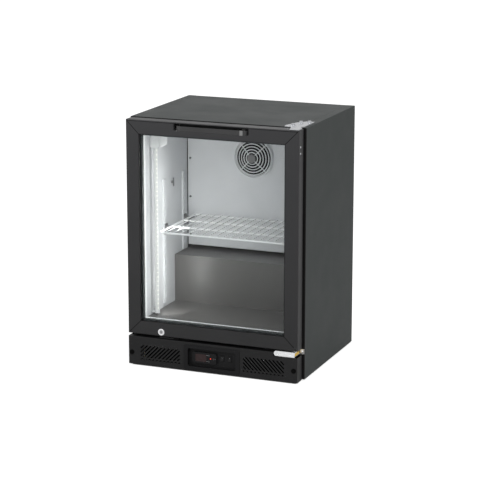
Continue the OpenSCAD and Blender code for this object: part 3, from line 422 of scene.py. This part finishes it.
BLACK = (0.011, 0.011, 0.0115)
MATERIALS = {
    "casing_paint": paint_over(
        coated("casing_paint", (0.028, 0.033, 0.032), 0.46, (0.0009, 0.00003), level=0.16),
        front_flange_shade, (0.004, 0.004, 0.004)),
    "front_paint": coated("front_paint", (0.008, 0.008, 0.0083), 0.38, (0.0009, 0.00003),
                          level=0.21),
    "door_frame": paint_over(
        paint_over(coated("door_frame", BLACK, 0.36, (0.0007, 0.00003), edge=0.0009,
                          level=0.32),
                   painted_light_upwards, (0.021, 0.021, 0.0225)),
        left_edge_shade, (0.002, 0.002, 0.002)),
    # bay_black is near-black and without gloss as painted shade, so the machine bay behind the kick plate's slots
    # looks dark
    "bay_black": coated("bay_black", (0.003, 0.003, 0.003), 0.85, (0.0009, 0.00003), level=0.0),
    "plug_black": coated("plug_black", (0.002, 0.002, 0.002), 0.60, (0.0006, 0.00002),
                         level=0.03),
    "foam": foam("foam"),
    "trim_white": coated("trim_white", (0.80, 0.81, 0.82), 0.38, (0.0006, 0.00002), spread=0.03),
    "liner": paint_over(coated("liner", (0.58, 0.59, 0.61), 0.42, (0.0012, 0.00005), spread=0.05),
                        behind_cover_shade, (0.010, 0.010, 0.010)),
    "floor_liner": coated("floor_liner", (0.10, 0.097, 0.095), 0.34, (0.0012, 0.00001), spread=0.06),
    "fins": paint_over(brushed("fins", (0.78, 0.79, 0.80), 0.30, (1.0, 1.0, 0.05)),
                       shaded_lower_fins, (0.03, 0.03, 0.03)),
    "black_plastic": coated("black_plastic", (0.006, 0.006, 0.0065), 0.48, (0.0005, 0.00003),
                            level=0.15),
    "bracket_plastic": coated("bracket_plastic", (0.13, 0.13, 0.135), 0.50,
                              (0.0005, 0.00004)),
    "guard_wire": paint_over(
        coated("guard_wire", (0.72, 0.74, 0.76), 0.30, (0.0008, 0.00004), spread=0.04),
        guard_hub, (0.17, 0.17, 0.175)),
    "lamp_glow": glowing("lamp_glow", (0.66, 0.67, 0.66), (1.0, 0.99, 0.97), 0.10),
    "shelf_coating": coated("shelf_coating", (0.82, 0.83, 0.84), 0.30, (0.0008, 0.00005), spread=0.03),
    "compressor_paint": coated("compressor_paint", (0.010, 0.010, 0.011), 0.30,
                               (0.0014, 0.00010), coat=0.1, level=0.3),
    "motor_metal": coated("motor_metal", (0.10, 0.10, 0.105), 0.45, (0.0007, 0.00005)),
    "copper": copper_tube("copper"),
    "zinc": paint_over(brushed("zinc", (0.60, 0.61, 0.63), 0.30, (0.15, 1.0, 1.0)),
                       lower_fittings_highlight, (0.90, 0.91, 0.92)),
    "screw_steel": brushed("screw_steel", (0.16, 0.16, 0.165), 0.35, (1.0, 1.0, 1.0)),
    "cam_yellow": coated("cam_yellow", (0.78, 0.50, 0.06), 0.40, (0.0005, 0.00003), spread=0.08),
    "keeper_paint": coated("keeper_paint", BLACK, 0.40, (0.0009, 0.00006)),
    "controller_face": coated("controller_face", (0.006, 0.006, 0.0065), 0.42,
                              (0.0004, 0.00004), level=0.15),
    "display": coated("display", (0.020, 0.010, 0.010), 0.14, (0.004, 0.00001), coat=0.1,
                      edge=0.0003, level=0.25),
    "key_plastic": coated("key_plastic", (0.030, 0.030, 0.031), 0.50, (0.0004, 0.00003),
                          level=0.3),
    "rocker_plastic": coated("rocker_plastic", (0.005, 0.005, 0.0053), 0.28,
                             (0.0006, 0.00002), level=0.22),
    "glass": window_glass("glass"),
    "spacer": brushed("spacer", (0.10, 0.110, 0.113), 0.38, (1.0, 1.0, 1.0)),
    "gasket_rubber": coated("gasket_rubber", (0.010, 0.010, 0.010), 0.62,
                            (0.0006, 0.00008)),
    "handle_plastic": paint_over(
        coated("handle_plastic", (0.021, 0.021, 0.0215), 0.22, (0.003, 0.00001), level=0.55),
        grip_return_highlights, (0.14, 0.14, 0.14)),
    "lock_chrome": brushed("lock_chrome", (0.88, 0.88, 0.89), 0.12, (1.0, 1.0, 1.0),
                           depth=0.000005, spread=0.05),
    "plug_metal": brushed("plug_metal", (0.40, 0.40, 0.41), 0.30, (1.0, 1.0, 1.0)),
    "bush_nylon": coated("bush_nylon", (0.78, 0.77, 0.72), 0.45, (0.0005, 0.00003), spread=0.05),
}


def dress(objects, material):
    """Gives each object one material."""
    for obj in objects:
        obj.data.materials.clear()
        obj.data.materials.append(material)


def dress_cad_nodes():
    """Every CAD node takes the material of its slot in the record."""
    for part in frame["record"]["subparts"]:
        node = frame["nodes"][part["node"]]
        for holder in node.material_slots:
            holder.link = "OBJECT"
            holder.material = MATERIALS[part["material_slot"]]


dress_cad_nodes()


# ---- mesh helpers ----


def piece(name, mesh, material, body):
    """Turns a bmesh into a piece that rides on a body and belongs to a material slot."""
    data = bpy.data.meshes.new(name)
    mesh.to_mesh(data)
    mesh.free()
    obj = bpy.data.objects.new(name, data)
    bpy.context.scene.collection.objects.link(obj)
    dress([obj], material)
    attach(obj, body)


def add_lathe(mesh, profile, place, steps=24):
    """Adds a turned shape about Z: profile is (radius, height) pairs, from the axis or to it."""
    rings = []
    for radius, height in profile:
        if radius == 0:
            rings.append([mesh.verts.new(place @ Vector((0, 0, height)))])
            continue
        angles = [2 * math.pi * i / steps for i in range(steps)]
        rings.append([
            mesh.verts.new(place @ Vector((radius * math.cos(a), radius * math.sin(a), height)))
            for a in angles
        ])
    for low, high in zip(rings, rings[1:]):
        for i in range(steps):
            j = (i + 1) % steps
            corners = [low[i % len(low)], low[j % len(low)],
                       high[j % len(high)], high[i % len(high)]]
            face = mesh.faces.new(list(dict.fromkeys(corners)))
            face.smooth = True


def facing_front(x, y, z):
    """Places a shape built along +Z so that it stands out of a front face, along -Y."""
    return Matrix.Translation((x, y, z)) @ Matrix.Rotation(math.radians(90), 4, "X")


def facing_right(x, y, z):
    """Places a shape built along +Z so that it stands out along +X."""
    return Matrix.Translation((x, y, z)) @ Matrix.Rotation(math.radians(90), 4, "Y")


def dome(radius, height):
    """Profile of a low rounded button, closed at both ends."""
    return [(0, -0.0002), (radius, -0.0002), (radius, height * 0.4),
            (radius * 0.92, height * 0.75), (radius * 0.6, height * 0.95), (0, height)]


# ---- added pieces ----


def door_side_screws():
    """Two low screw heads near the top of the door's hinge side."""
    mesh = bmesh.new()
    for z in SIDE_SCREW_ZS:
        add_lathe(mesh, dome(0.0032, 0.0012), facing_right(DOOR_HALF_WIDTH, SIDE_SCREW_Y, z))
    piece("door_side_screws", mesh, MATERIALS["zinc"], "door")


def led_chips():
    """Small LEDs along the side of the tube that faces the cavity."""
    chip = glowing("led_chip", (0.95, 0.93, 0.80), (1.0, 0.97, 0.88), 0.6)
    mesh = bmesh.new()
    turn = Matrix.Rotation(math.radians(LED_ANGLE), 4, "Z")
    for i in range(LED_COUNT):
        z = LAMP_Z[0] + (LAMP_Z[1] - LAMP_Z[0]) * (i + 0.5) / LED_COUNT
        place = (Matrix.Translation((LAMP.x, LAMP.y, z)) @ turn
                 @ Matrix.Translation((LAMP_RADIUS - 0.0001, 0, 0))
                 @ Matrix.Rotation(math.radians(90), 4, "Y"))
        add_lathe(mesh, dome(0.0014, 0.0004), place, 12)
    piece("led_chips", mesh, chip, "cabinet")


def status_led():
    """A red light beside the upper step key, level with the third key."""
    red = glowing("led_red", (0.5, 0.02, 0.01), (1.0, 0.05, 0.02), 3.0)
    mesh = bmesh.new()
    x = middle("button_up").x + KEY_TO_LIGHT
    add_lathe(mesh, dome(0.0011, 0.0004),
              facing_front(x, CONTROLLER_Y, middle("button_set").z))
    piece("status_led", mesh, red, "cabinet")


def add_prism(mesh, outline, place, height):
    """Adds a thin prism over an outline in XY, standing along +Z."""
    low = [mesh.verts.new(place @ Vector((x, y, -0.0001))) for x, y in outline]
    high = [mesh.verts.new(place @ Vector((x, y, height))) for x, y in outline]
    mesh.faces.new(high)
    mesh.faces.new(low[::-1])
    for i in range(len(outline)):
        j = (i + 1) % len(outline)
        mesh.faces.new([low[i], low[j], high[j], high[i]])


def rectangle(left, low, right, high):
    """Outline of an upright rectangle."""
    return [(left, low), (right, low), (right, high), (left, high)]


def door_seams():
    """Dark gaps on the door's face: between its four mitred bars, along the glass, where the black glazing bead
    shows, and a line of painted shade under the folded top edge."""
    gap = coated("seam_gap", (0.001, 0.001, 0.001), 0.9, (0.0007, 0.00001), edge=0, level=0.0)
    face = facing_front(0, DOOR_FRONT_Y, 0)
    mesh = bmesh.new()
    for side in (-1, 1):
        for z, inward in ((DOOR_Z[0], 1), (DOOR_Z[1], -1)):
            corner = Vector((side * DOOR_HALF_WIDTH, z))
            along = Vector((-side, inward))
            start = corner + along * CORNER_GAP
            end = corner + along * DOOR_BAR_WIDTH
            across = Vector((inward, side)).normalized() * SEAM_WIDTH / 2
            outline = [start - across, end - across, end + across, start + across]
            if side * inward < 0:
                outline.reverse()
            add_prism(mesh, outline, face, SEAM_PROUD)
    glass_x = DOOR_HALF_WIDTH - DOOR_BAR_WIDTH
    glass_z0 = DOOR_Z[0] + DOOR_BAR_WIDTH
    glass_z1 = DOOR_Z[1] - DOOR_BAR_WIDTH
    fold_x = DOOR_HALF_WIDTH - CORNER_GAP
    fold_z = DOOR_Z[1] - CORNER_GAP
    strips = [
        (-glass_x - BEAD_WIDTH, glass_z0, -glass_x, glass_z1),
        (glass_x, glass_z0, glass_x + BEAD_WIDTH, glass_z1),
        (-glass_x, glass_z0 - BEAD_WIDTH, glass_x, glass_z0),
        (-glass_x, glass_z1, glass_x, glass_z1 + BEAD_WIDTH),
        # a line of painted shade under the folded top edge
        (-fold_x, fold_z - BEAD_WIDTH, fold_x, fold_z),
    ]
    for strip in strips:
        add_prism(mesh, rectangle(*strip), face, BEAD_PROUD)
    piece("door_seams", mesh, gap, "door")


PRINT_WHITE = coated("print_white", (0.42, 0.43, 0.44), 0.55, (0.0004, 0.00001), edge=0)


def controller_marks():
    """Plain arrows beside the two step keys and a dot beside the third."""
    mesh = bmesh.new()
    up = [(-ARROW_SIZE, -ARROW_SIZE), (ARROW_SIZE, -ARROW_SIZE), (0, ARROW_SIZE)]
    down = [(ARROW_SIZE, ARROW_SIZE), (-ARROW_SIZE, ARROW_SIZE), (0, -ARROW_SIZE)]
    for key, arrow in (("button_up", up), ("button_down", down)):
        at = middle(key)
        place = facing_front(at.x - KEY_TO_ARROW, CONTROLLER_Y, at.z)
        add_prism(mesh, arrow, place, PRINT_PROUD)
    at = middle("button_set")
    place = facing_front(at.x + KEY_TO_LIGHT, CONTROLLER_Y, at.z)
    add_lathe(mesh, dome(0.0007, PRINT_PROUD), place, 12)
    piece("controller_marks", mesh, PRINT_WHITE, "cabinet")


def sensor_clip():
    """Temperature probe in a clip on the left wall."""
    mesh = bmesh.new()
    add_lathe(mesh, [(0, 0), (0.0045, 0), (0.0045, 0.004), (0.003, 0.006), (0, 0.006)],
              facing_right(*SENSOR_CLIP))
    add_lathe(mesh, [(0, 0), (0.0018, 0.0008), (0.0025, 0.003), (0.0025, 0.027),
                     (0.0018, 0.030), (0, 0.0305)], Matrix.Translation(SENSOR_BULB), 16)
    piece("sensor_clip", mesh, MATERIALS["bracket_plastic"], "cabinet")


def compressor_weld():
    """Bead where the pot's two halves meet."""
    mesh = bmesh.new()
    arc = [math.radians(a) for a in range(-90, 91, 30)]
    sunk = 0.0004
    profile = [(POT_RADIUS - sunk + WELD_BEAD * math.cos(a), WELD_Z + WELD_BEAD * math.sin(a))
               for a in arc]
    add_lathe(mesh, profile, Matrix.Translation((POT.x, POT.y, 0)), 96)
    piece("compressor_weld", mesh, MATERIALS["compressor_paint"], "cabinet")


def rocker_marks():
    """A white bar on the upper half of each rocker, which rests at half its range."""
    bar = rectangle(-0.0003, -0.0017, 0.0003, 0.0017)
    slope = Matrix.Rotation(math.radians(-ROCKER_SLOPE), 4, "X")
    for name, body, rock in (("power_mark", "power_switch", JOINTS["power_rock"]),
                             ("light_mark", "light_switch", JOINTS["light_rock"])):
        tilt = Matrix.Rotation(math.radians(-rock["range_deg"][1] / 2), 4, "X")
        face = (Matrix.Translation(Vector(rock["pos_m"])) @ tilt
                @ Matrix.Translation(ROCKER_MARK) @ slope @ facing_front(0, 0, 0))
        mesh = bmesh.new()
        add_prism(mesh, bar, face, PRINT_PROUD)
        piece(name, mesh, PRINT_WHITE, body)


door_side_screws()
door_seams()
led_chips()
rocker_marks()
status_led()
controller_marks()
sensor_clip()
compressor_weld()


# ---- studio ----


FLOOR_HALF_SIZE = 30.0
FLOOR_GLOW = 0.6
SHADE_X = (-0.285, 0.285)
SHADE_Y = (-0.250, 0.245)


def floor_paint():
    """Pale and cloudy. The camera sees it lit up, except in the shade under the cabinet."""
    material, tree, principled = shader("floor")
    clouds = noise(tree, coordinates(tree), 1.5)
    base = blend_colours(tree, remap(tree, clouds, 0.0, 1.0), (0.62, 0.62, 0.62),
                         (0.65, 0.65, 0.65))
    tree.links.new(base, principled.inputs["Base Color"])
    principled.inputs["Roughness"].default_value = 0.9
    principled.inputs["Emission Color"].default_value = (1.0, 1.0, 1.0, 1.0)
    path = tree.nodes.new("ShaderNodeLightPath")
    place = place_of(tree)
    under = combine(tree, "MULTIPLY", within(tree, place["X"], *SHADE_X),
                    within(tree, place["Y"], *SHADE_Y))
    open_floor = remap(tree, under, FLOOR_GLOW, 0.0, 0.0, 1.0)
    glow = combine(tree, "MULTIPLY", path.outputs["Is Camera Ray"], open_floor)
    tree.links.new(glow, principled.inputs["Emission Strength"])
    return material


def make_floor():
    """A flat floor, wide enough to fill the view."""
    mesh = bmesh.new()
    bmesh.ops.create_grid(mesh, x_segments=4, y_segments=4, size=FLOOR_HALF_SIZE)
    data = bpy.data.meshes.new("floor")
    mesh.to_mesh(data)
    mesh.free()
    floor = bpy.data.objects.new("floor", data)
    bpy.context.scene.collection.objects.link(floor)
    dress([floor], floor_paint())


def area_light(name, place, target, size, power, colour=(1, 1, 1)):
    """A rectangular lamp that faces its target, with its power in watts."""
    data = bpy.data.lights.new(name, "AREA")
    data.shape = "RECTANGLE"
    data.size, data.size_y = size
    data.energy = power
    data.color = colour
    light = bpy.data.objects.new(name, data)
    light.location = place
    aim = Vector(target) - Vector(place)
    light.rotation_euler = aim.to_track_quat("-Z", "Y").to_euler()
    bpy.context.scene.collection.objects.link(light)


WORLD_LIGHT = 0.75
WORLD_SEEN = 1.0
LAMP_WHITE = (1.0, 0.99, 0.96)
LAMP_MIDDLE = sum(LAMP_Z) / 2
LAMP_LENGTH = LAMP_Z[1] - LAMP_Z[0]


def make_world():
    """White all round, a little brighter to the camera than the light it gives."""
    world = bpy.data.worlds.new("studio")
    world.use_nodes = True
    tree = world.node_tree
    background = tree.nodes["Background"]
    background.inputs["Color"].default_value = (1.0, 1.0, 1.0, 1.0)
    path = tree.nodes.new("ShaderNodeLightPath")
    strength = remap(tree, path.outputs["Is Camera Ray"], WORLD_LIGHT, WORLD_SEEN, 0.0, 1.0)
    tree.links.new(strength, background.inputs["Strength"])
    bpy.context.scene.world = world


def make_studio_lights():
    """Two soft boxes, one to each side of the camera."""
    centre = (0, 0, 0.4)
    area_light("key", (2.2, -3.0, 3.2), centre, (2.5, 2.5), 120)
    area_light("fill", (-3.0, -2.5, 1.8), centre, (2.5, 2.5), 60)


def make_lamp_lights():
    """What the fridge's own lamp gives: into the cavity, onto the wall beside it, and onto the
    trim in front of it."""
    inside = (LAMP.x + 0.009, LAMP.y + 0.004, LAMP_MIDDLE)
    area_light("lamp_in", inside, (0.1, 0.05, LAMP_MIDDLE), (0.006, LAMP_LENGTH), 0.62,
               LAMP_WHITE)
    beside = (WALL_X + 0.100, LAMP.y + 0.035, LAMP_MIDDLE)
    area_light("lamp_wall", beside, (WALL_X, LAMP.y + 0.050, LAMP_MIDDLE),
               (0.006, LAMP_LENGTH), 0.36, LAMP_WHITE)
    trim_middle = (LAMP_Z[0] + CEILING_Z) / 2
    before = (WALL_X + 0.030, CABINET_FRONT_Y - 0.012, trim_middle)
    area_light("lamp_trim", before, (WALL_X - 0.002, CABINET_FRONT_Y + 0.014, trim_middle),
               (0.004, CEILING_Z - LAMP_Z[0]), 0.13, LAMP_WHITE)


def make_camera():
    """Stands in front, to the right and above, without shift or depth of field."""
    data = bpy.data.cameras.new("camera")
    data.lens = CAMERA_LENS
    data.sensor_width = SENSOR_WIDTH
    data.clip_end = 100
    camera = bpy.data.objects.new("camera", data)
    camera.location = CAMERA_PLACE
    camera.rotation_euler = (math.radians(90 - CAMERA_PITCH), 0, math.radians(CAMERA_YAW))
    bpy.context.scene.collection.objects.link(camera)
    bpy.context.scene.camera = camera


make_floor()
make_world()
make_studio_lights()
make_lamp_lights()
make_camera()
bpy.context.scene.view_settings.view_transform = "Standard"
